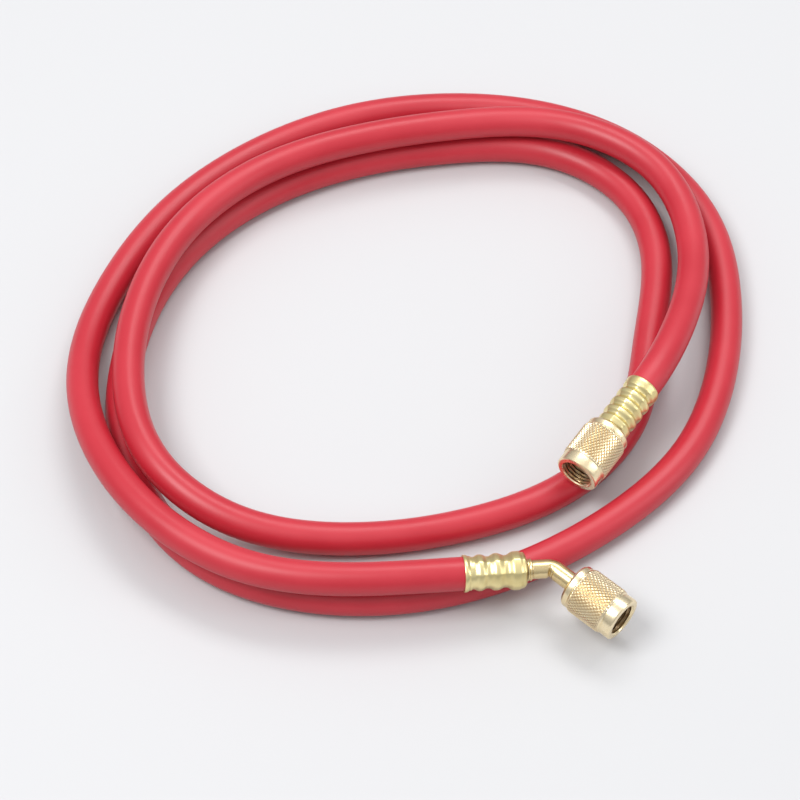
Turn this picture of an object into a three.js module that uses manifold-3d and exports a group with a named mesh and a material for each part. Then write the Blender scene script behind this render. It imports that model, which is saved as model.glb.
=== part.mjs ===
// A coiled charging hose with a swivel flare nut on each end, one of them on a bent tube.
// Millimetres, Z up, on a floor at Z = 0. The nuts' threads are plain bores here.
import * as THREE from "three";
import { mergeVertices } from "three/addons/utils/BufferGeometryUtils.js";
import { NURBSCurve } from "three/addons/curves/NURBSCurve.js";
import Module from "manifold-3d";

// Driving sizes, mm
const HOSE_D = 11; // outside of the rubber hose
const HOSE_SIDES = 12;
const HOSE_STEPS = 80;
const FERRULE_L = 20.3; // crimped sleeve on the hose's end
const FERRULE_R = 6;
const FERRULE_GROOVE = 0.9; // how deep the waists between its bulges are
const TUBE_D = 6.2; // brass tube that carries the nut
const BEND_R = 4.5; // of the bent tube's centreline
const BEND_DEG = 48;
const BEND_LEAD = 7; // straight tube between ferrule and bend
const BEND_TAIL = 6.5; // straight tube between bend and nut
const RING_D = 7.4; // bead on the bent tube, against the ferrule
const RING_L = 2;
const NUT_D = 16.2; // over the knurl
const NUT_L = 20;
const NUT_BACK_D = 15.1;
const NUT_BACK_L = 2.6;
const NUT_RIM_D = 15.2;
const NUT_RIM_L = 3.6;
const NUT_EDGE = 0.5; // bevel of its edges
const BORE_D = 10; // the thread's inner size, for a 7/16-20 male flare
const BORE_DEPTH = 14.4;
const MOUTH_D = 11.3; // of the bevel that leads into the thread
const HEAD_L = 3; // flared head of the tube, inside the nut
const SEAT_D = 3.2; // bore of the tube
const SEAT_DEPTH = 9;
const GASKET_L = 1.6;
const GASKET_HOLE_D = 4;

// Clearances, mm
const FACE_GAP = 0.3; // between two faces that meet
const SIDE_GAP = 0.3; // around a shaft in its hole
const HEAD_GAP = 0.4; // around the head and gasket in the bore
const NUT_GAP = 0.5; // between a ferrule and the nut behind it
const SHANK_IN = 8; // how far the tube goes into the ferrule

const ROUND = 32;

// How it lies: seen from above with the nearer side at -Y, then turned so that the bent end's nut points along +X.
const LAY_TURN_DEG = 38;
const LAY_SHIFT_X = 1.3;
const LAY_SHIFT_Y = -21.3;

// Each ferrule's mouth, where the hose goes in, and the way that the fitting points.
const STRAIGHT_MOUTH = [81.4, -13.5, 23.1];
const STRAIGHT_HEADING_DEG = 234.8;
const STRAIGHT_DOWN_DEG = 6.5;
const BENT_MOUTH = [20.2, -85.8, 17.3];
const BENT_HEADING_DEG = 7.1;
const BENT_NUT_HEADING_DEG = BENT_HEADING_DEG - BEND_DEG;
const BENT_DOWN_DEG = 4;
const EXIT_STRAIGHT = 12; // of hose held in line with its ferrule

// Control points of the hose's centreline, from the straight end to the bent one.
const ROUTE = [
  // first turn, over the others
  [100, 25, 20], [105.5, 61, 14], [96, 98, 16.3], [60, 119, 17.2], [21, 116, 17.2],
  [-15, 109, 17.2], [-50, 95, 17.2], [-77, 68, 17.2], [-91, 33, 17.2], [-94, -5, 17.2],
  [-85, -41, 16.7], [-54, -64, 10.5], [-15, -65, 5.5], [22, -59, 5.5], [58, -44, 5.5],
  [82, -14, 5.5],
  // second turn, on the floor
  [86, 23, 5.5], [94, 60, 5.5], [85, 95, 5.5], [54, 117, 5.5], [17, 115, 5.5],
  [-19, 108, 5.5], [-53, 91, 5.5], [-79, 64, 5.5], [-93, 30, 5.5], [-97, -8, 5.5],
  [-89, -43, 5.5], [-68, -74, 5.5], [-33, -88, 5.5], [6, -88, 5.5], [41, -76, 5.5],
  [72, -56, 5.5], [99, -29, 5.5], [112, 7, 5.5], [116, 45, 5.5], [112, 82, 5.5],
  // third turn, on the floor and then over the second
  [89, 115, 5.5], [55, 133, 5.5], [17, 137, 5.5], [-20, 131, 5.5], [-54, 113, 5.5],
  [-82, 87, 5.5], [-100, 54, 5.5], [-111, 18, 6], [-107, -21, 13.5], [-88, -58, 17.4],
  [-56, -84, 17.5], [-20, -90, 17.9],
];

const rad = THREE.MathUtils.degToRad;
const wasm = await Module();
wasm.setup();

const root = new THREE.Group();
root.name = "charging_hose";

// From the way it lies to the part's own frame.
const layTurn = new THREE.Matrix4().makeRotationZ(rad(LAY_TURN_DEG));
const layShift = new THREE.Matrix4().makeTranslation(LAY_SHIFT_X, LAY_SHIFT_Y, 0);
const lay = layShift.clone().multiply(layTurn);

function laid(xyz) {
  return new THREE.Vector3(...xyz).applyMatrix4(lay);
}

function heading(headingDeg, downDeg) {
  const flat = rad(headingDeg + LAY_TURN_DEG);
  const dip = rad(-downDeg);
  return new THREE.Vector3(
    Math.cos(flat) * Math.cos(dip),
    Math.sin(flat) * Math.cos(dip),
    Math.sin(dip),
  );
}

// A frame at a point, with its +Y along the fitting and its +Z as near to up as that allows.
function frameAt(point, along) {
  const side = new THREE.Vector3().crossVectors(along, new THREE.Vector3(0, 0, 1)).normalize();
  const up = new THREE.Vector3().crossVectors(side, along);
  return new THREE.Matrix4().makeBasis(side, along, up).setPosition(point);
}

function solid(geometry) {
  const bare = geometry.clone();
  bare.deleteAttribute("normal");
  bare.deleteAttribute("uv");
  const merged = mergeVertices(bare, 1e-4);
  return new wasm.Manifold(
    new wasm.Mesh({
      numProp: 3,
      vertProperties: merged.attributes.position.array,
      triVerts: new Uint32Array(merged.index.array),
    }),
  );
}

function geometryOf(body) {
  const made = body.getMesh();
  const geometry = new THREE.BufferGeometry();
  geometry.setAttribute("position", new THREE.BufferAttribute(made.vertProperties, 3));
  geometry.setIndex(new THREE.BufferAttribute(made.triVerts, 1));
  geometry.computeVertexNormals();
  return geometry;
}

// Turned shape from [radius, distance along] points that start and end on the axis.
function turned(points, sides = ROUND) {
  return new THREE.LatheGeometry(points.map(([r, y]) => new THREE.Vector2(r, y)), sides);
}

function addMesh(name, geometry, frame, colour, roughness, metalness) {
  const material = new THREE.MeshStandardMaterial({ color: colour, roughness, metalness });
  const mesh = new THREE.Mesh(geometry, material);
  mesh.name = name;
  mesh.applyMatrix4(frame);
  root.add(mesh);
  return mesh;
}

// The hose

const straightWay = heading(STRAIGHT_HEADING_DEG, STRAIGHT_DOWN_DEG);
const bentWay = heading(BENT_HEADING_DEG, BENT_DOWN_DEG);
const nutWay = heading(BENT_NUT_HEADING_DEG, BENT_DOWN_DEG);
const straightMouth = laid(STRAIGHT_MOUTH);
const bentMouth = laid(BENT_MOUTH);

const controls = [
  straightMouth.clone().addScaledVector(straightWay, -FACE_GAP),
  straightMouth.clone().addScaledVector(straightWay, -FACE_GAP - EXIT_STRAIGHT),
  ...ROUTE.map(laid),
  bentMouth.clone().addScaledVector(bentWay, -FACE_GAP - EXIT_STRAIGHT),
  bentMouth.clone().addScaledVector(bentWay, -FACE_GAP),
].map((p) => new THREE.Vector4(p.x, p.y, p.z, 1));

const DEGREE = 3;
const spans = controls.length - DEGREE;
const knots = [];
for (let i = -DEGREE; i <= spans + DEGREE; i += 1) {
  knots.push(Math.min(1, Math.max(0, i / spans)));
}
const centreline = new NURBSCurve(DEGREE, knots, controls);
centreline.arcLengthDivisions = 2000;

const hoseSection = new THREE.Shape();
for (let i = 0; i < HOSE_SIDES; i += 1) {
  const a = (i * 2 * Math.PI) / HOSE_SIDES;
  const x = (HOSE_D / 2) * Math.cos(a);
  const y = (HOSE_D / 2) * Math.sin(a);
  if (i === 0) hoseSection.moveTo(x, y);
  else hoseSection.lineTo(x, y);
}
hoseSection.closePath();
const hose = new THREE.ExtrudeGeometry(hoseSection, {
  steps: HOSE_STEPS,
  extrudePath: centreline,
  bevelEnabled: false,
});
addMesh("hose", hose, new THREE.Matrix4(), 0xc9404f, 0.5, 0);

// A ferrule has a plain lip, then bulges between waists at these fractions of its length, and a shoulder.
const STRAIGHT_WAISTS = [0.21, 0.41, 0.61, 0.81];
const BENT_WAISTS = [0.145, 0.39, 0.675];
const WAIST_SPREAD = 0.05; // from a waist to the bulge beside it, as a fraction of the length

function ferrule(waists) {
  const r = FERRULE_R;
  const hole = TUBE_D / 2 + SIDE_GAP;
  const floor = FERRULE_L - SHANK_IN - FACE_GAP;
  const l = FERRULE_L;
  const waves = waists.flatMap((at) => [
    [r, (at - WAIST_SPREAD) * l],
    [r - FERRULE_GROOVE, at * l],
    [r, (at + WAIST_SPREAD) * l],
  ]);
  return turned([
    [0, 0],
    [r - 0.4, 0],
    [r, 0.4],
    ...waves,
    [r, 0.93 * l],
    [r - 0.7, l],
    [hole, l],
    [hole, floor],
    [0, floor],
  ], 24);
}

const straightFrame = frameAt(straightMouth, straightWay);
const bentFrame = frameAt(bentMouth, bentWay);
addMesh("ferrule_straight", ferrule(STRAIGHT_WAISTS), straightFrame, 0xcbb873, 0.35, 0.9);
addMesh("ferrule_bent", ferrule(BENT_WAISTS), bentFrame, 0xcbb873, 0.35, 0.9);

// Nuts, measured from their mouths inwards: the frame's +Y points out of the mouth

function nut() {
  const hole = TUBE_D / 2 + SIDE_GAP;
  const back = -NUT_L;
  const lead = (MOUTH_D - BORE_D) / 2;
  return turned([
    [hole, back],
    [NUT_BACK_D / 2 - NUT_EDGE, back],
    [NUT_BACK_D / 2, back + NUT_EDGE],
    [NUT_BACK_D / 2, back + NUT_BACK_L],
    [NUT_D / 2, back + NUT_BACK_L + NUT_EDGE],
    [NUT_D / 2, -NUT_RIM_L - NUT_EDGE],
    [NUT_RIM_D / 2, -NUT_RIM_L],
    [NUT_RIM_D / 2, -NUT_EDGE],
    [NUT_RIM_D / 2 - NUT_EDGE, 0],
    [MOUTH_D / 2, 0],
    [BORE_D / 2, -lead],
    [BORE_D / 2, -BORE_DEPTH],
    [hole, -BORE_DEPTH],
    [hole, back],
  ]);
}

// Head of a tube inside its nut, with the tube's bore open at its face, and the tube back to a given distance.
const headBack = -BORE_DEPTH + FACE_GAP;
const headFace = headBack + HEAD_L;
const headR = BORE_D / 2 - HEAD_GAP;

function head(tubeEnd) {
  return turned([
    [0, tubeEnd],
    [TUBE_D / 2, tubeEnd],
    [TUBE_D / 2, headBack],
    [headR, headBack],
    [headR, headFace - 1.2],
    [headR - 1.2, headFace],
    [SEAT_D / 2, headFace],
    [SEAT_D / 2, headFace - SEAT_DEPTH],
    [0, headFace - SEAT_DEPTH],
  ]);
}

const straightRim = straightMouth.clone().addScaledVector(straightWay, FERRULE_L + NUT_GAP + NUT_L);
const straightRimFrame = frameAt(straightRim, straightWay);
addMesh("nut_straight", nut(), straightRimFrame, 0xd9c48a, 0.3, 0.9);
addMesh(
  "stem_straight",
  head(-NUT_L - NUT_GAP - SHANK_IN),
  straightRimFrame,
  0xc8a860,
  0.35,
  0.9,
);

// The bent tube turns where the two straight lines through it cross.
const bendTangent = BEND_R * Math.tan(rad(BEND_DEG) / 2);
const crossing = bentMouth.clone().addScaledVector(bentWay, FERRULE_L + BEND_LEAD + bendTangent);
const bentRim = crossing.clone().addScaledVector(nutWay, bendTangent + BEND_TAIL + NUT_GAP + NUT_L);
const bentRimFrame = frameAt(bentRim, nutWay);
addMesh("nut_bent", nut(), bentRimFrame, 0xd9c48a, 0.3, 0.9);

class BentTube extends THREE.Curve {
  constructor() {
    super();
    this.start = bentMouth.clone().addScaledVector(bentWay, FERRULE_L - SHANK_IN);
    this.turnFrom = crossing.clone().addScaledVector(bentWay, -bendTangent);
    this.turnTo = crossing.clone().addScaledVector(nutWay, bendTangent);
    this.end = this.turnTo.clone().addScaledVector(nutWay, BEND_TAIL + NUT_GAP + NUT_L - BORE_DEPTH + 1);
    const normal = new THREE.Vector3().crossVectors(bentWay, nutWay).normalize();
    this.inward = new THREE.Vector3().crossVectors(normal, bentWay).normalize();
    this.lengths = [
      this.start.distanceTo(this.turnFrom),
      BEND_R * rad(BEND_DEG),
      this.turnTo.distanceTo(this.end),
    ];
  }

  getPoint(t, target = new THREE.Vector3()) {
    const [lead, arc, tail] = this.lengths;
    const s = t * (lead + arc + tail);
    if (s <= lead) return target.copy(this.start).addScaledVector(bentWay, s);
    if (s >= lead + arc) {
      return target.copy(this.turnTo).addScaledVector(nutWay, s - lead - arc);
    }
    const a = (s - lead) / BEND_R;
    return target
      .copy(this.turnFrom)
      .addScaledVector(bentWay, BEND_R * Math.sin(a))
      .addScaledVector(this.inward, BEND_R * (1 - Math.cos(a)));
  }
}

const tubeSection = new THREE.Shape();
tubeSection.absarc(0, 0, TUBE_D / 2, 0, 2 * Math.PI);
const bentTube = new THREE.ExtrudeGeometry(tubeSection, {
  curveSegments: 16,
  steps: 40,
  extrudePath: new BentTube(),
  bevelEnabled: false,
});
const ring = turned([
  [0, FERRULE_L + FACE_GAP],
  [RING_D / 2, FERRULE_L + FACE_GAP],
  [RING_D / 2, FERRULE_L + FACE_GAP + RING_L],
  [0, FERRULE_L + FACE_GAP + RING_L],
]);
ring.applyMatrix4(bentFrame);
const bentHead = head(headBack - 3);
bentHead.applyMatrix4(bentRimFrame);
const seatBore = turned([
  [0, headFace - SEAT_DEPTH],
  [SEAT_D / 2, headFace - SEAT_DEPTH],
  [SEAT_D / 2, headFace + 1],
  [0, headFace + 1],
]);
seatBore.applyMatrix4(bentRimFrame);
const bentStem = solid(bentTube).add(solid(ring)).add(solid(bentHead)).subtract(solid(seatBore));
addMesh("stem_bent", geometryOf(bentStem), new THREE.Matrix4(), 0xc8a860, 0.35, 0.9);

const gasketBack = headFace + FACE_GAP;
const gasket = turned([
  [GASKET_HOLE_D / 2, gasketBack],
  [headR, gasketBack],
  [headR, gasketBack + GASKET_L],
  [GASKET_HOLE_D / 2, gasketBack + GASKET_L],
  [GASKET_HOLE_D / 2, gasketBack],
]);
addMesh("gasket_bent", gasket, bentRimFrame, 0x1a6b62, 0.6, 0);

export default root;
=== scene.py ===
# A red charging hose in a loose coil on a pale floor, with a knurled swivel nut at each end.
# Metres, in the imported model's frame.
import math

import bmesh
import bpy
from mathutils import Matrix, Vector


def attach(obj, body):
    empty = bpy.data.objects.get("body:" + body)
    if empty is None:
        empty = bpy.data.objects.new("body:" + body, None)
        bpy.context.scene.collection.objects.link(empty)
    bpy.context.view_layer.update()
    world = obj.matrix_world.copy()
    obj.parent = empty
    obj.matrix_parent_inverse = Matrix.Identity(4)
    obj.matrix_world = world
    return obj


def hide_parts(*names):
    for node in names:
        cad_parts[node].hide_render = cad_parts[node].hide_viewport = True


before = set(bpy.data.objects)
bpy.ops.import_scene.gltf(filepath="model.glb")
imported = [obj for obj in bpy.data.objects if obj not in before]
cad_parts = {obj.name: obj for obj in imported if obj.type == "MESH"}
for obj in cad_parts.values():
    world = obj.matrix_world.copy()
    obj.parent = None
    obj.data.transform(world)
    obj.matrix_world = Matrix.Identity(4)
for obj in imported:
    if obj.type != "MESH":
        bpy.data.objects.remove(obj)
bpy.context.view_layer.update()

MM = 0.001

# Sizes of the hose and its fittings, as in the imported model
HOSE_RADIUS = 5.5 * MM
FERRULE_LENGTH = 20.3 * MM
TUBE_RADIUS = 3.1 * MM
BEND_RADIUS = 4.5 * MM
BEND_DEGREES = 48
BEND_ANGLE = math.radians(BEND_DEGREES)
BEND_LEAD = 7 * MM
BEND_TAIL = 6.5 * MM
NUT_LENGTH = 20 * MM
NUT_GAP = 0.5 * MM
FACE_GAP = 0.3 * MM
BORE_DEPTH = 14.4 * MM
HEAD_LENGTH = 3 * MM
HEAD_RADIUS = 4.6 * MM
SEAT_RADIUS = 1.6 * MM
GASKET_LENGTH = 1.6 * MM

# How it lies: seen from above with the nearer side at -Y, then turned and centred
LAY = Matrix.Translation((1.3 * MM, -21.3 * MM, 0)) @ Matrix.Rotation(math.radians(38), 4, "Z")

# The mouth of each ferrule and the way that its fitting points
STRAIGHT_MOUTH = (0.0814, -0.0135, 0.0231)
STRAIGHT_HEADING = 234.8
STRAIGHT_DOWN = 6.5
BENT_MOUTH = (0.0202, -0.0858, 0.0173)
BENT_HEADING = 7.1
BENT_NUT_HEADING = BENT_HEADING - BEND_DEGREES
BENT_DOWN = 4
EXIT_STRAIGHT = 12 * MM

# Control points of the hose's centreline, from the straight end to the bent one
ROUTE = [
    # first turn, over the others
    (0.1, 0.025, 0.02), (0.1055, 0.061, 0.014), (0.096, 0.098, 0.0163), (0.06, 0.119, 0.0172),
    (0.021, 0.116, 0.0172), (-0.015, 0.109, 0.0172), (-0.05, 0.095, 0.0172),
    (-0.077, 0.068, 0.0172), (-0.091, 0.033, 0.0172), (-0.094, -0.005, 0.0172),
    (-0.085, -0.041, 0.0167), (-0.054, -0.064, 0.0105), (-0.015, -0.065, 0.0055),
    (0.022, -0.059, 0.0055), (0.058, -0.044, 0.0055), (0.082, -0.014, 0.0055),
    # second turn, on the floor
    (0.086, 0.023, 0.0055), (0.094, 0.06, 0.0055), (0.085, 0.095, 0.0055),
    (0.054, 0.117, 0.0055), (0.017, 0.115, 0.0055), (-0.019, 0.108, 0.0055),
    (-0.053, 0.091, 0.0055), (-0.079, 0.064, 0.0055), (-0.093, 0.03, 0.0055),
    (-0.097, -0.008, 0.0055), (-0.089, -0.043, 0.0055), (-0.068, -0.074, 0.0055),
    (-0.033, -0.088, 0.0055), (0.006, -0.088, 0.0055), (0.041, -0.076, 0.0055),
    (0.072, -0.056, 0.0055), (0.099, -0.029, 0.0055), (0.112, 0.007, 0.0055),
    (0.116, 0.045, 0.0055), (0.112, 0.082, 0.0055),
    # third turn, on the floor and then over the second
    (0.089, 0.115, 0.0055), (0.055, 0.133, 0.0055), (0.017, 0.137, 0.0055),
    (-0.02, 0.131, 0.0055), (-0.054, 0.113, 0.0055), (-0.082, 0.087, 0.0055),
    (-0.1, 0.054, 0.0055), (-0.111, 0.018, 0.006), (-0.107, -0.021, 0.0135),
    (-0.088, -0.058, 0.0174), (-0.056, -0.084, 0.0175), (-0.02, -0.09, 0.0179),
]

# How finely the pieces are made
HOSE_RINGS = 720
HOSE_SIDES = 28
ROUTE_SAMPLES = 6000
SLEEVE_SIDES = 96
TUBE_SIDES = 32
NUT_SIDES = 160

# Knurl and thread
KNURL_AROUND = 40
KNURL_PITCH = 1.64 * MM
KNURL_DEPTH = 0.34 * MM
KNURL_CREST = 8.1 * MM
KNURL_FLAT = 0.65
KNURL_BACK = 17 * MM
KNURL_FRONT = 4.1 * MM
THREAD_PITCH = 25.4 / 20 * MM
THREAD_CREST = 5 * MM
THREAD_DEPTH = 0.52 * MM
THREAD_END = 11 * MM
THREAD_ROWS = 10


def laid(x, y, z):
    """A point of the hose as it lies, in the model's frame."""
    return LAY @ Vector((x, y, z))


def pointing(heading, down):
    """The direction at that heading in degrees, tipped down by so many degrees."""
    flat, dip = math.radians(heading), math.radians(-down)
    way = Vector((math.cos(flat) * math.cos(dip), math.sin(flat) * math.cos(dip), math.sin(dip)))
    return LAY.to_3x3() @ way


def fitting_frame(origin, way):
    """A frame whose Z runs along a fitting, with its Y as near to up as that allows."""
    side = way.cross(Vector((0, 0, 1))).normalized()
    up = side.cross(way)
    return Matrix.Translation(origin) @ Matrix((side, up, -way)).transposed().to_4x4() @ (
        Matrix.Scale(-1, 4, (0, 0, 1))
    )


straight_way = pointing(STRAIGHT_HEADING, STRAIGHT_DOWN)
bent_way = pointing(BENT_HEADING, BENT_DOWN)
bent_nut_way = pointing(BENT_NUT_HEADING, BENT_DOWN)
straight_mouth = laid(*STRAIGHT_MOUTH)
bent_mouth = laid(*BENT_MOUTH)
straight_rim = straight_mouth + straight_way * (FERRULE_LENGTH + NUT_GAP + NUT_LENGTH)
bend_tangent = BEND_RADIUS * math.tan(BEND_ANGLE / 2)
bend_crossing = bent_mouth + bent_way * (FERRULE_LENGTH + BEND_LEAD + bend_tangent)
bent_rim = bend_crossing + bent_nut_way * (bend_tangent + BEND_TAIL + NUT_GAP + NUT_LENGTH)


# The camera: it looks down along the lay's +Y at the middle of the coil

CAMERA_DOWN = math.radians(51)
CAMERA_DISTANCE = 1.0
IMAGE_WIDTH = 800
FOCAL_PIXELS = 2905
SENSOR_MM = 36


def set_camera():
    data = bpy.data.cameras.new("product_camera")
    data.sensor_width = SENSOR_MM
    data.lens = FOCAL_PIXELS / IMAGE_WIDTH * SENSOR_MM
    data.clip_start = 0.01
    camera = bpy.data.objects.new("product_camera", data)
    bpy.context.scene.collection.objects.link(camera)
    turn = LAY.to_3x3()
    look = turn @ Vector((0, math.cos(CAMERA_DOWN), -math.sin(CAMERA_DOWN)))
    camera.location = laid(0, 0, 0) - look * CAMERA_DISTANCE
    camera.rotation_euler = look.to_track_quat("-Z", "Y").to_euler()
    bpy.context.scene.camera = camera


set_camera()


# Finishes

def new_group(name, inputs, outputs):
    """A shader node group with float inputs, given with their defaults, and float outputs. It comes
    with its input, output and coordinate nodes."""
    group = bpy.data.node_groups.new(name, "ShaderNodeTree")
    for label, value in inputs.items():
        socket = group.interface.new_socket(label, in_out="INPUT", socket_type="NodeSocketFloat")
        socket.default_value = value
    for label in outputs:
        group.interface.new_socket(label, in_out="OUTPUT", socket_type="NodeSocketFloat")
    start = group.nodes.new("NodeGroupInput")
    end = group.nodes.new("NodeGroupOutput")
    place = group.nodes.new("ShaderNodeTexCoord")
    return group, start, end, place


def noise(group, place, scale, detail, roughness):
    """Noise on the object's own coordinates, its scale taken from a socket."""
    node = group.nodes.new("ShaderNodeTexNoise")
    node.inputs["Detail"].default_value = detail
    node.inputs["Roughness"].default_value = roughness
    group.links.new(place.outputs["Object"], node.inputs["Vector"])
    group.links.new(scale, node.inputs["Scale"])
    return node.outputs["Fac"]


def stretch(group, value, low, high):
    """The value spread so that low gives 0 and high gives 1."""
    node = group.nodes.new("ShaderNodeMapRange")
    node.inputs["From Min"].default_value = low
    node.inputs["From Max"].default_value = high
    group.links.new(value, node.inputs["Value"])
    return node.outputs["Result"]


def make_wear_group():
    """Cloudy tarnish and a fine satin grain for the brass pieces."""
    group, start, end, place = new_group(
        "brass_wear", {"Cloud Scale": 120, "Grain Scale": 2500}, ["Tarnish", "Grain"]
    )
    cloud = noise(group, place, start.outputs["Cloud Scale"], 4, 0.6)
    grain = noise(group, place, start.outputs["Grain Scale"], 2, 0.5)
    group.links.new(stretch(group, cloud, 0.4, 0.72), end.inputs["Tarnish"])
    group.links.new(grain, end.inputs["Grain"])
    return group


def make_skin_group():
    """The slightly uneven skin of extruded rubber, with faint rubbed patches."""
    group, start, end, place = new_group(
        "rubber_skin", {"Skin Scale": 700, "Patch Scale": 28}, ["Rubbed", "Skin"]
    )
    patch = noise(group, place, start.outputs["Patch Scale"], 5, 0.55)
    skin = noise(group, place, start.outputs["Skin Scale"], 3, 0.55)
    group.links.new(stretch(group, patch, 0.4, 0.7), end.inputs["Rubbed"])
    group.links.new(skin, end.inputs["Skin"])
    return group


BRASS_WEAR = make_wear_group()
RUBBER_SKIN = make_skin_group()


def finish_material(name, group, mask, height, tones, roughness, bump, metallic=0.0):
    """A material whose colour and roughness go between two values by the group's mask."""
    material = bpy.data.materials.new(name)
    material.use_nodes = True
    nodes, links = material.node_tree.nodes, material.node_tree.links
    shader = nodes["Principled BSDF"]
    shader.inputs["Metallic"].default_value = metallic
    marks = nodes.new("ShaderNodeGroup")
    marks.node_tree = group
    colour = nodes.new("ShaderNodeMix")
    colour.data_type = "RGBA"
    colour.inputs["A"].default_value = (*tones[0], 1)
    colour.inputs["B"].default_value = (*tones[1], 1)
    links.new(marks.outputs[mask], colour.inputs["Factor"])
    links.new(colour.outputs["Result"], shader.inputs["Base Color"])
    rough = nodes.new("ShaderNodeMapRange")
    rough.inputs["To Min"].default_value = roughness[0]
    rough.inputs["To Max"].default_value = roughness[1]
    links.new(marks.outputs[mask], rough.inputs["Value"])
    links.new(rough.outputs["Result"], shader.inputs["Roughness"])
    relief = nodes.new("ShaderNodeBump")
    relief.inputs["Strength"].default_value = bump[0]
    relief.inputs["Distance"].default_value = bump[1]
    links.new(marks.outputs[height], relief.inputs["Height"])
    links.new(relief.outputs["Normal"], shader.inputs["Normal"])
    return material


SATIN_BUMP = (0.06, 0.05 * MM)


def brass(name, clean, dull, roughness):
    return finish_material(
        name, BRASS_WEAR, "Tarnish", "Grain", (clean, dull), roughness, SATIN_BUMP, 1.0
    )


RED_RUBBER = finish_material(
    "red_rubber",
    RUBBER_SKIN,
    "Rubbed",
    "Skin",
    ((0.48, 0.018, 0.032), (0.53, 0.026, 0.042)),
    (0.36, 0.46),
    (0.1, 0.15 * MM),
)
TEAL_RUBBER = finish_material(
    "teal_rubber",
    RUBBER_SKIN,
    "Rubbed",
    "Skin",
    ((0.006, 0.13, 0.1), (0.01, 0.16, 0.125)),
    (0.45, 0.6),
    (0.1, 0.1 * MM),
)
SLEEVE_BRASS = brass("pale_sleeve_brass", (0.86, 0.74, 0.38), (0.74, 0.61, 0.28), (0.3, 0.4))
TUBE_BRASS = brass("tube_brass", (0.8, 0.64, 0.35), (0.68, 0.52, 0.25), (0.24, 0.34))
NUT_BRASS = brass("polished_nut_brass", (0.92, 0.78, 0.52), (0.84, 0.69, 0.42), (0.26, 0.36))
# Darker brass for the nut's bore and thread: painted shade where the deep bore falls in shade.
BORE_PAINTED_SHADE_BRASS = brass("bore_brass_painted_shade", (0.5, 0.37, 0.22), (0.38, 0.27, 0.15), (0.3, 0.4))
# Darker brass for the knurl's grooves: painted shade in the hollows between its diamonds.
KNURL_GROOVE_PAINTED_SHADE_BRASS = brass("knurl_groove_brass_painted_shade", (0.72, 0.58, 0.39), (0.62, 0.48, 0.3), (0.3, 0.4))


# Making meshes from rings of points

def piece_from_rings(
    name, rings, material, body, closed=False, crease=28, valleys=None, shade_paint=None
):
    """A closed mesh through rings of points, each ring with as many points as the next.

    A closed piece runs from its last ring back to its first; any other gets a cap at each end.
    valleys(ring, column) says which way a quad is split, or 0 to keep it whole, for relief that
    runs slantwise. The last argument, for painted shade, is a list of further materials and a
    function that gives a face's material from its centre: 0 for the first one, 1 and up for those in
    the list.
    """
    bm = bmesh.new()
    rows = [[bm.verts.new(p) for p in ring] for ring in rings]
    count = len(rows[0])
    pairs = [(i, i + 1) for i in range(len(rows) - 1)]
    if closed:
        pairs.append((len(rows) - 1, 0))
    for i, k in pairs:
        for j in range(count):
            n = (j + 1) % count
            a, b, c, d = rows[i][j], rows[i][n], rows[k][n], rows[k][j]
            split = valleys(i, j) if valleys else 0
            if split > 0:
                bm.faces.new((a, b, c))
                bm.faces.new((a, c, d))
            elif split < 0:
                bm.faces.new((a, b, d))
                bm.faces.new((b, c, d))
            else:
                bm.faces.new((a, b, c, d))
    if not closed:
        bm.faces.new(rows[0])
        bm.faces.new(rows[-1])
    bmesh.ops.recalc_face_normals(bm, faces=bm.faces)
    mesh = bpy.data.meshes.new(name)
    bm.to_mesh(mesh)
    bm.free()
    mesh.polygons.foreach_set("use_smooth", [True] * len(mesh.polygons))
    mesh.set_sharp_from_angle(angle=math.radians(crease))
    mesh.materials.append(material)
    if shade_paint:
        further, choice = shade_paint
        for extra in further:
            mesh.materials.append(extra)
        for face in mesh.polygons:
            face.material_index = choice(face.center)
    piece = bpy.data.objects.new(name, mesh)
    bpy.context.scene.collection.objects.link(piece)
    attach(piece, body)
    return piece


def turned_rings(place, profile, sides):
    """Rings about a fitting's axis: profile is (distance along, radius), and a radius may be a
    function of the angle."""
    rings = []
    for along, radius in profile:
        ring = []
        for j in range(sides):
            a = 2 * math.pi * j / sides
            r = radius(a) if callable(radius) else radius
            ring.append(place @ Vector((r * math.cos(a), r * math.sin(a), along)))
        rings.append(ring)
    return rings


def eased(keys, x):
    """A smooth curve through (x, value) keys, level at each of them."""
    for (x0, v0), (x1, v1) in zip(keys, keys[1:]):
        if x <= x1:
            t = (x - x0) / (x1 - x0)
            return v0 + (v1 - v0) * (1 - math.cos(math.pi * t)) / 2
    return keys[-1][1]


def swept_rings(path, reference, sides, radius_at):
    """Rings along a path that turn about it as little as possible. The angle is measured from the
    reference direction, and radius_at(distance, angle) gives the radius."""
    rings = []
    travelled = 0.0
    side = None
    for i, point in enumerate(path):
        ahead = path[min(i + 1, len(path) - 1)]
        behind = path[max(i - 1, 0)]
        tangent = (ahead - behind).normalized()
        side = reference if side is None else side
        side = (side - tangent * side.dot(tangent)).normalized()
        other = tangent.cross(side)
        if i:
            travelled += (point - path[i - 1]).length
        ring = []
        for j in range(sides):
            a = 2 * math.pi * j / sides
            r = radius_at(travelled, a)
            ring.append(point + (side * math.cos(a) + other * math.sin(a)) * r)
        rings.append(ring)
    return rings


# The hose

def route_point(controls, spans, t):
    """A point of the clamped uniform cubic B-spline through the control points, t from 0 to 1."""
    def knot(i):
        return min(1.0, max(0.0, (i - 3) / spans))

    span = min(int(t * spans), spans - 1) + 3
    points = [controls[span - 3 + j].copy() for j in range(4)]
    for level in range(1, 4):
        for j in range(3, level - 1, -1):
            low, high = knot(span - 3 + j), knot(span + 1 + j - level)
            mix = (t - low) / (high - low)
            points[j] = points[j - 1].lerp(points[j], mix)
    return points[3]


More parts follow.
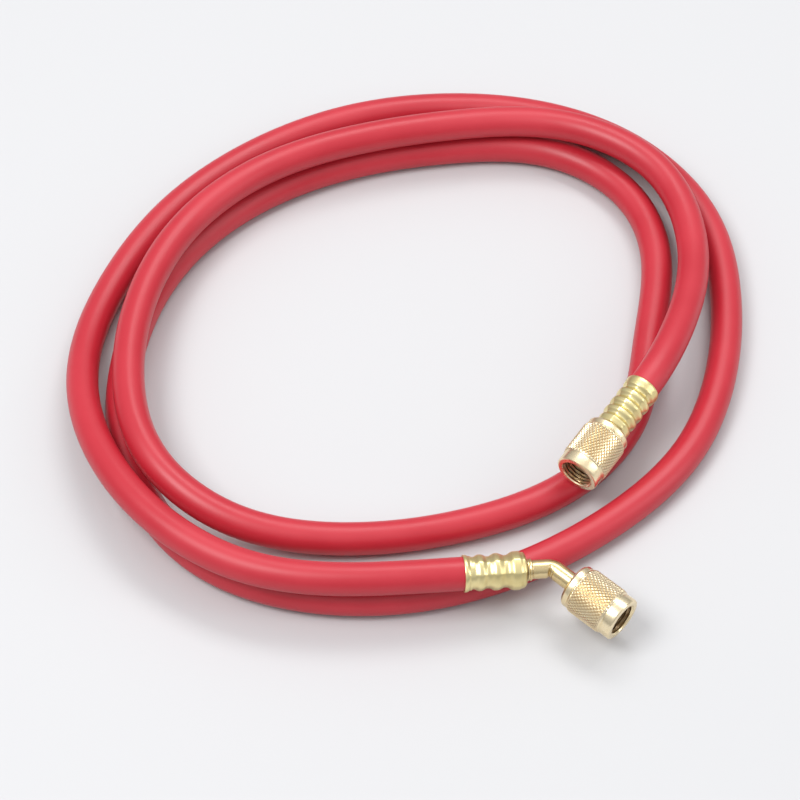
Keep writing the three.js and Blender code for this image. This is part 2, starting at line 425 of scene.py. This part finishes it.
def even_points(points, count):
    """So many points at even distances along a line of points."""
    reach = [0.0]
    for a, b in zip(points, points[1:]):
        reach.append(reach[-1] + (b - a).length)
    out = []
    k = 0
    for i in range(count):
        goal = reach[-1] * i / (count - 1)
        while k < len(reach) - 2 and reach[k + 1] < goal:
            k += 1
        out.append(points[k].lerp(points[k + 1], (goal - reach[k]) / (reach[k + 1] - reach[k])))
    return out


SLEEVE_RECESS = 2.4 * MM
HOSE_IN_SLEEVE = 2 * MM


def make_hose():
    controls = [
        straight_mouth - straight_way * FACE_GAP,
        straight_mouth - straight_way * (FACE_GAP + EXIT_STRAIGHT),
        *[laid(*p) for p in ROUTE],
        bent_mouth - bent_way * (FACE_GAP + EXIT_STRAIGHT),
        bent_mouth - bent_way * FACE_GAP,
    ]
    spans = len(controls) - 3
    line = [route_point(controls, spans, i / ROUTE_SAMPLES) for i in range(ROUTE_SAMPLES + 1)]
    path = [
        straight_mouth + straight_way * HOSE_IN_SLEEVE,
        *even_points(line, HOSE_RINGS),
        bent_mouth + bent_way * HOSE_IN_SLEEVE,
    ]
    rings = swept_rings(path, Vector((0, 0, 1)), HOSE_SIDES, lambda s, a: HOSE_RADIUS)
    hose = piece_from_rings("red_hose", rings, RED_RUBBER, "hose", crease=50)
    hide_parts("hose")
    return hose, path


hose, hose_path = make_hose()


# The crimped sleeves

SLEEVE_DIES = 8

# Share of the sleeve's length from its mouth, and its radius there in mm
BENT_SLEEVE_KEYS = [
    (0, 6.0), (0.03, 6.05), (0.135, 5.25), (0.155, 5.25), (0.25, 5.95), (0.28, 5.95),
    (0.38, 5.2), (0.4, 5.2), (0.51, 6.05), (0.54, 6.05), (0.665, 5.25), (0.685, 5.25),
    (0.8, 6.3), (0.88, 6.35), (0.95, 5.95),
]
STRAIGHT_SLEEVE_KEYS = [
    (0, 6.1), (0.04, 6.15), (0.14, 6.0), (0.21, 5.2), (0.3, 6.15), (0.33, 6.15), (0.41, 5.25),
    (0.5, 6.15), (0.53, 6.15), (0.61, 5.25), (0.69, 6.15), (0.72, 6.15), (0.8, 5.2), (0.88, 6.0),
    (0.95, 5.8),
]

# Share of the length, and how far the dies have pressed it flat between their marks
FACET_KEYS = [(0, 0), (0.13, 0), (0.2, 0.4), (0.96, 0.4), (1, 0)]
DIE_RIDGE = 0.06 * MM
DIE_RIDGE_WIDTH = math.radians(9)
SLEEVE_ROWS = 110
SLEEVE_LIP = 0.08 * MM
SHOULDER_FROM = 0.95
SHOULDER_ROUND = 1.2 * MM
SHOULDER_FACET = 0.6
SHOULDER_ROWS = 8
SLEEVE_HOLE_DEPTH = 6 * MM
HOLE_EDGE = 0.2 * MM
SLEEVE_HOLE = TUBE_RADIUS + 0.15 * MM
SLEEVE_MOUTH = HOSE_RADIUS + 0.06 * MM


def crimped_radius(radius, amount):
    """Radius of a sleeve that dies have pressed flat between them, as a function of the angle."""
    half = math.pi / SLEEVE_DIES

    def at(angle):
        off = (angle % (2 * half)) - half
        flat = radius * math.cos(half) / math.cos(off)
        ridge = DIE_RIDGE * math.exp(-(((half - abs(off)) / DIE_RIDGE_WIDTH) ** 2))
        return radius + amount * (flat + ridge - radius)

    return at


def make_sleeve(name, node, mouth, way, keys):
    """A sleeve from inside its mouth, out over the crimps and back into the tube's hole."""
    place = fitting_frame(mouth, way)
    length = FERRULE_LENGTH
    profile = [(SLEEVE_RECESS, SLEEVE_MOUTH), (0.1 * MM, SLEEVE_MOUTH), (0, SLEEVE_MOUTH + 0.05 * MM)]
    for i in range(SLEEVE_ROWS + 1):
        f = i / SLEEVE_ROWS * SHOULDER_FROM
        radius = eased(keys, f) * MM
        if i == 0:
            radius -= SLEEVE_LIP
        profile.append((f * length, crimped_radius(radius, eased(FACET_KEYS, f))))
    end_radius = eased(keys, SHOULDER_FROM) * MM
    tail = (1 - SHOULDER_FROM) * length
    for i in range(1, SHOULDER_ROWS + 1):
        a = math.pi / 2 * i / SHOULDER_ROWS
        along = SHOULDER_FROM * length + tail * math.sin(a)
        radius = end_radius - SHOULDER_ROUND * (1 - math.cos(a))
        profile.append((along, crimped_radius(radius, SHOULDER_FACET * math.cos(a))))
    profile.append((length, SLEEVE_HOLE + HOLE_EDGE))
    profile.append((length - HOLE_EDGE, SLEEVE_HOLE))
    profile.append((length - SLEEVE_HOLE_DEPTH, SLEEVE_HOLE))
    rings = turned_rings(place, profile, SLEEVE_SIDES)
    sleeve = piece_from_rings(name, rings, SLEEVE_BRASS, "hose", crease=40)
    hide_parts(node)
    return sleeve


make_sleeve(
    "crimped_sleeve_straight", "ferrule_straight", straight_mouth, straight_way, STRAIGHT_SLEEVE_KEYS
)
bent_sleeve = make_sleeve(
    "crimped_sleeve_bent", "ferrule_bent", bent_mouth, bent_way, BENT_SLEEVE_KEYS
)


# The knurled nuts. Distances run from the mouth inwards, so along -Z of the nut's frame

NUT_BACK_HOLE = TUBE_RADIUS + 0.3 * MM
BACK_RADIUS = 7.55 * MM
RIM_RADIUS = 7.6 * MM
RIM_GROOVE = 0.12 * MM
# Bore faces inside this radius, and deeper than this from the mouth, get the painted shade.
SHADED_BORE_RADIUS = 5.6 * MM
SHADED_BORE_FROM = 0.6 * MM
# Knurl faces in this lowest share of the knurl's depth get the painted groove shade.
SHADED_GROOVE_SHARE = 0.38
KNURL_FADE_ROWS = 2
THREAD_START = 0.35 * MM
THREAD_CLEARANCE = 0.02 * MM
THREAD_FLANK = 1.5


def knurl_height(u, v):
    """Height of the knurl from 0 in its grooves to 1 on its crests, over its two slants."""
    def ramp(x):
        return 1 - abs(2 * (x % 1) - 1)

    return min(ramp(u), ramp(v), KNURL_FLAT) / KNURL_FLAT


def make_nut(name, node, body, rim, way):
    """A nut from the hole in its back, out over the knurl and the rim, and in down the thread."""
    place = fitting_frame(rim, way)
    columns_each = NUT_SIDES // KNURL_AROUND
    row_step = KNURL_PITCH / columns_each
    knurl_rows = int(round((KNURL_BACK - KNURL_FRONT) / row_step))
    profile = [
        (NUT_LENGTH - 0.1 * MM, NUT_BACK_HOLE),
        (NUT_LENGTH, NUT_BACK_HOLE + 0.1 * MM),
        (NUT_LENGTH, BACK_RADIUS - 0.75 * MM),
        (NUT_LENGTH - 0.1 * MM, BACK_RADIUS - 0.6 * MM),
        (NUT_LENGTH - 0.7 * MM, BACK_RADIUS - 0.08 * MM),
        (NUT_LENGTH - 0.9 * MM, BACK_RADIUS),
        (KNURL_BACK + 0.75 * MM, BACK_RADIUS),
        (KNURL_BACK + 0.6 * MM, BACK_RADIUS - RIM_GROOVE),
        (KNURL_BACK + 0.45 * MM, BACK_RADIUS - RIM_GROOVE),
        (KNURL_BACK + 0.1 * MM, KNURL_CREST - KNURL_DEPTH - 0.05 * MM),
    ]
    first_knurl = len(profile)

    def knurled(row):
        ends = min(1.0, row / KNURL_FADE_ROWS, (knurl_rows - row) / KNURL_FADE_ROWS)
        base = KNURL_CREST - KNURL_DEPTH

        def at(angle):
            column = round(angle / (2 * math.pi) * NUT_SIDES)
            u, v = (column + row) / columns_each, (column - row) / columns_each
            return base + KNURL_DEPTH * knurl_height(u, v) * ends

        return at

    for row in range(knurl_rows + 1):
        profile.append((KNURL_BACK - row * row_step, knurled(row)))
    last_knurl = len(profile) - 1
    profile += [
        (KNURL_FRONT - 0.2 * MM, RIM_RADIUS - RIM_GROOVE),
        (KNURL_FRONT - 0.4 * MM, RIM_RADIUS - RIM_GROOVE),
        (KNURL_FRONT - 0.55 * MM, RIM_RADIUS),
        (0.75 * MM, RIM_RADIUS),
        (0.45 * MM, RIM_RADIUS - 0.07 * MM),
        (0.2 * MM, RIM_RADIUS - 0.25 * MM),
        (0.06 * MM, RIM_RADIUS - 0.5 * MM),
        (0, RIM_RADIUS - 0.8 * MM),
        (0, 5.85 * MM),
        (0.06 * MM, 5.7 * MM),
        (THREAD_START, 5.5 * MM),
    ]
    rows = int(THREAD_END / THREAD_PITCH * THREAD_ROWS)
    for row in range(rows + 1):
        along = THREAD_START + (THREAD_END - THREAD_START) * row / rows
        lead = min(1.0, (THREAD_END - along) / THREAD_PITCH)

        def threaded(angle, along=along, lead=lead):
            phase = (along / THREAD_PITCH + angle / (2 * math.pi)) % 1
            groove = min(1.0, max(0.0, THREAD_FLANK * (1 - abs(2 * phase - 1))))
            return THREAD_CREST + THREAD_CLEARANCE + THREAD_DEPTH * groove * lead

        profile.append((along + 0.01 * MM, threaded))
    profile += [
        (THREAD_END + 0.3 * MM, THREAD_CREST),
        (BORE_DEPTH - 0.2 * MM, THREAD_CREST),
        (BORE_DEPTH, THREAD_CREST - 0.2 * MM),
        (BORE_DEPTH, NUT_BACK_HOLE),
    ]
    rings = turned_rings(place, [(-along, radius) for along, radius in profile], NUT_SIDES)

    def valleys(i, j):
        row = i - first_knurl
        if not first_knurl <= i < last_knurl:
            return 0
        u, v = (j + row) % columns_each, (j - row) % columns_each
        along_groove = v == 0 if u % 2 == 0 else u == 1
        return 1 if along_groove else -1

    # Faces deep in the bore and low in the knurl's grooves get darker brass: painted shade.
    to_nut = place.inverted()
    shaded_groove_top = KNURL_CREST - (1 - SHADED_GROOVE_SHARE) * KNURL_DEPTH

    def painted_shade_at(centre):
        x, y, along = to_nut @ centre
        radius = math.hypot(x, y)
        if radius < SHADED_BORE_RADIUS and along < -SHADED_BORE_FROM:
            return 1
        in_knurl = -KNURL_BACK + row_step < along < -KNURL_FRONT - row_step
        return 2 if in_knurl and SHADED_BORE_RADIUS < radius < shaded_groove_top else 0

    nut = piece_from_rings(
        name,
        rings,
        NUT_BRASS,
        body,
        closed=True,
        crease=14,
        valleys=valleys,
        shade_paint=([BORE_PAINTED_SHADE_BRASS, KNURL_GROOVE_PAINTED_SHADE_BRASS], painted_shade_at),
    )
    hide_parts(node)
    return nut


make_nut(
    "knurled_nut_straight", "nut_straight", "straight_nut", straight_rim, straight_way
)
bent_nut = make_nut("knurled_nut_bent", "nut_bent", "bent_nut", bent_rim, bent_nut_way)


# The brass tubes with their flared heads, and the seal

HEAD_BACK = -BORE_DEPTH + FACE_GAP
HEAD_FACE = HEAD_BACK + HEAD_LENGTH
HEAD_ROUND = 1.2 * MM
HEAD_BORE_DEPTH = 7 * MM
TUBE_IN_SLEEVE = 5 * MM


def head_profile():
    """From the tube, up over the flared head and down its bore."""
    return [
        (HEAD_BACK - 0.1 * MM, TUBE_RADIUS),
        (HEAD_BACK, TUBE_RADIUS + 0.1 * MM),
        (HEAD_BACK, HEAD_RADIUS - 0.1 * MM),
        (HEAD_BACK + 0.1 * MM, HEAD_RADIUS),
        (HEAD_FACE - HEAD_ROUND, HEAD_RADIUS),
        (HEAD_FACE - HEAD_ROUND + 0.1 * MM, HEAD_RADIUS - 0.05 * MM),
        (HEAD_FACE - 0.05 * MM, HEAD_RADIUS - HEAD_ROUND + 0.05 * MM),
        (HEAD_FACE, HEAD_RADIUS - HEAD_ROUND),
        (HEAD_FACE, SEAT_RADIUS + 0.15 * MM),
        (HEAD_FACE - 0.15 * MM, SEAT_RADIUS),
        (HEAD_FACE - HEAD_BORE_DEPTH, SEAT_RADIUS),
    ]


def make_straight_tube():
    place = fitting_frame(straight_rim, straight_way)
    profile = [(-NUT_LENGTH - NUT_GAP - TUBE_IN_SLEEVE, TUBE_RADIUS), *head_profile()]
    rings = turned_rings(place, profile, TUBE_SIDES * 2)
    tube = piece_from_rings("flared_tube_straight", rings, TUBE_BRASS, "hose")
    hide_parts("stem_straight")


BEND_CRUSH = 0.09
CREASE_DEPTH = 0.5 * MM
CREASE_WIDTH = 0.55 * MM
CREASE_PLACE = 0.3
BENT_TUBE_STEPS = 150

# Distance past the sleeve and height of the bead there, both in mm
BEAD_KEYS = [
    (0, 0), (0.3, 0), (0.5, 0.55), (0.95, 0.55), (1.15, 0.2), (1.35, 0.5), (1.8, 0.5), (2, 0.1),
    (2.3, 0),
]


def make_bent_tube():
    """A tube swept through its bend, crushed and creased on the inside, then the flared head."""
    normal = bent_way.cross(bent_nut_way).normalized()
    inward = normal.cross(bent_way).normalized()
    turn_from = bend_crossing - bent_way * bend_tangent
    turn_to = bend_crossing + bent_nut_way * bend_tangent
    lead = (turn_from - bent_mouth).length - FERRULE_LENGTH + TUBE_IN_SLEEVE
    arc = BEND_RADIUS * BEND_ANGLE
    tail = BEND_TAIL + NUT_GAP + NUT_LENGTH - BORE_DEPTH + FACE_GAP - 0.2 * MM
    path = []
    for i in range(BENT_TUBE_STEPS + 1):
        s = (lead + arc + tail) * i / BENT_TUBE_STEPS
        if s <= lead:
            path.append(turn_from - bent_way * (lead - s))
        elif s >= lead + arc:
            path.append(turn_to + bent_nut_way * (s - lead - arc))
        else:
            a = (s - lead) / BEND_RADIUS
            path.append(
                turn_from
                + bent_way * (BEND_RADIUS * math.sin(a))
                + inward * (BEND_RADIUS * (1 - math.cos(a)))
            )

    def radius_at(s, angle):
        bead = eased(BEAD_KEYS, max(0, s - TUBE_IN_SLEEVE) / MM) * MM
        across = max(0.0, math.cos(angle))
        over = max(0.0, 1 - abs(2 * (s - lead) / arc - 1) ** 3) if lead < s < lead + arc else 0
        off = (s - lead - CREASE_PLACE * arc) / CREASE_WIDTH
        crease = CREASE_DEPTH * across * math.exp(-(off**2))
        return TUBE_RADIUS * (1 - BEND_CRUSH * across**2 * over) + bead - crease

    rings = swept_rings(path, inward, TUBE_SIDES * 2, radius_at)
    place = fitting_frame(bent_rim, bent_nut_way)
    head = turned_rings(place, head_profile(), TUBE_SIDES * 2)
    last = rings[-1]
    shift = min(range(len(last)), key=lambda k: (head[0][k] - last[0]).length)
    turned_way = 1 if (head[0][(shift + 1) % len(last)] - last[1]).length < 1 * MM else -1
    for ring in head:
        count = len(ring)
        rings.append([ring[(shift + turned_way * j) % count] for j in range(count)])
    tube = piece_from_rings("flared_tube_bent", rings, TUBE_BRASS, "hose", crease=35)
    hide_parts("stem_bent")
    return tube


def make_seal():
    place = fitting_frame(bent_rim, bent_nut_way)
    back = HEAD_FACE + FACE_GAP
    inner, outer = 2 * MM, HEAD_RADIUS
    edge = 0.4 * MM
    profile = []
    corners = [
        (outer - edge, back + edge, -90), (outer - edge, back + GASKET_LENGTH - edge, 0),
        (inner + edge, back + GASKET_LENGTH - edge, 90), (inner + edge, back + edge, 180),
    ]
    for radius, along, start in corners:
        for i in range(5):
            a = math.radians(start + 90 * i / 4)
            profile.append((along + edge * math.sin(a), radius + edge * math.cos(a)))
    rings = turned_rings(place, profile, TUBE_SIDES * 2)
    seal = piece_from_rings("teal_seal", rings, TEAL_RUBBER, "hose", closed=True)
    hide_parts("gasket_bent")
    return seal


make_straight_tube()
bent_tube = make_bent_tube()
seal = make_seal()


# Floor, light and surroundings

def plain_material(name, colour, roughness):
    material = bpy.data.materials.new(name)
    material.use_nodes = True
    shader = material.node_tree.nodes["Principled BSDF"]
    shader.inputs["Base Color"].default_value = (*colour, 1)
    shader.inputs["Roughness"].default_value = roughness
    return material


FLOOR_SIZE = 12


def make_floor():
    bpy.ops.mesh.primitive_plane_add(size=FLOOR_SIZE, location=(0, 0, 0))
    floor = bpy.context.object
    floor.name = "pale_floor"
    floor.data.materials.append(plain_material("pale_floor", (0.58, 0.58, 0.585), 0.7))


def add_softbox(name, place, size, power, target=(0, 0, 0)):
    data = bpy.data.lights.new(name, "AREA")
    data.shape = "RECTANGLE"
    data.size, data.size_y = size
    data.energy = power
    lamp = bpy.data.objects.new(name, data)
    bpy.context.scene.collection.objects.link(lamp)
    where = laid(*place)
    lamp.location = where
    lamp.rotation_euler = (laid(*target) - where).to_track_quat("-Z", "Y").to_euler()


HORIZON_LIGHT = 0.35
ZENITH_LIGHT = 0.87


def set_surroundings():
    """A plain studio sky, brighter towards the top."""
    world = bpy.data.worlds.new("studio")
    world.use_nodes = True
    nodes, links = world.node_tree.nodes, world.node_tree.links
    backdrop = nodes["Background"]
    backdrop.inputs["Color"].default_value = (0.96, 0.97, 1.0, 1)
    place = nodes.new("ShaderNodeTexCoord")
    parts = nodes.new("ShaderNodeSeparateXYZ")
    rise = nodes.new("ShaderNodeMapRange")
    rise.inputs["From Min"].default_value = 0.05
    rise.inputs["From Max"].default_value = 0.85
    rise.inputs["To Min"].default_value = HORIZON_LIGHT
    rise.inputs["To Max"].default_value = ZENITH_LIGHT
    links.new(place.outputs["Generated"], parts.inputs["Vector"])
    links.new(parts.outputs["Z"], rise.inputs["Value"])
    links.new(rise.outputs["Result"], backdrop.inputs["Strength"])
    bpy.context.scene.world = world


bpy.context.scene.view_settings.view_transform = "Standard"
make_floor()
set_surroundings()
add_softbox("key_softbox", (-0.6, -0.3, 1.2), (0.6, 0.6), 10.5)
add_softbox("top_softbox", (0.3, 0.6, 1.2), (1.0, 0.4), 7)
add_softbox("right_strip", (1.0, -0.2, 0.5), (0.2, 0.8), 1.8)
